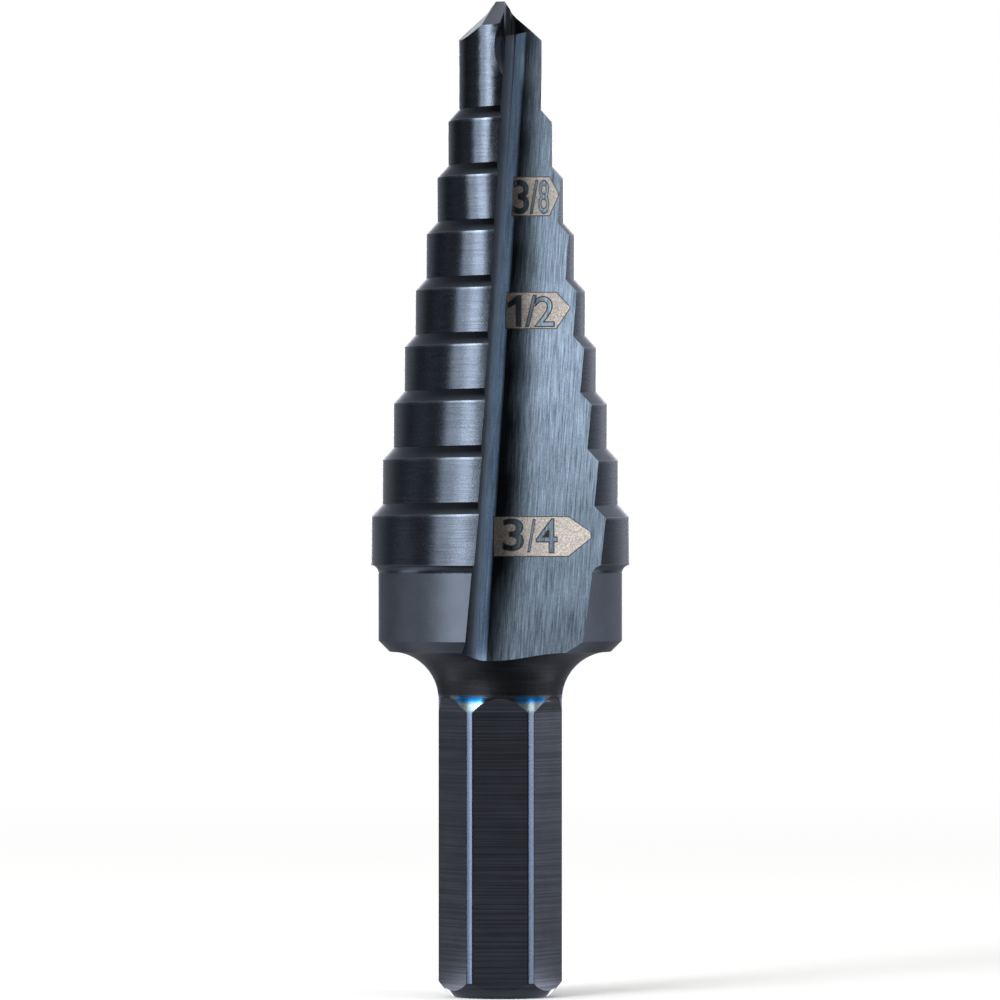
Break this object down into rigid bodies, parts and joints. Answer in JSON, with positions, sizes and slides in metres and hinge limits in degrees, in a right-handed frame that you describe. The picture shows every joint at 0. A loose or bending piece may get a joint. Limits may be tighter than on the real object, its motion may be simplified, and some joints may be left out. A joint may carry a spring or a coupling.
{
  "type": "step drill",
  "caption": "Stepped cone drill bit with straight chip flutes, a split point, a turned collar and a hexagonal shank, in black-oxide high-speed steel.",
  "frame": {"origin": "centre of the flat end face of the shank, on the drill's axis", "axes": "+Z along the drill's axis from the shank end to the point; the flute that the picture shows and one flat of the hexagon face -Y; +X to the right in the picture"},
  "size_m": [0.0186, 0.0188, 0.0719],
  "materials": {
    "black_oxide_steel": "ground high-speed steel with a blue-black oxide skin"
  },
  "bodies": {
    "root": {"step_drill": "black_oxide_steel"}
  },
  "joints": []
}
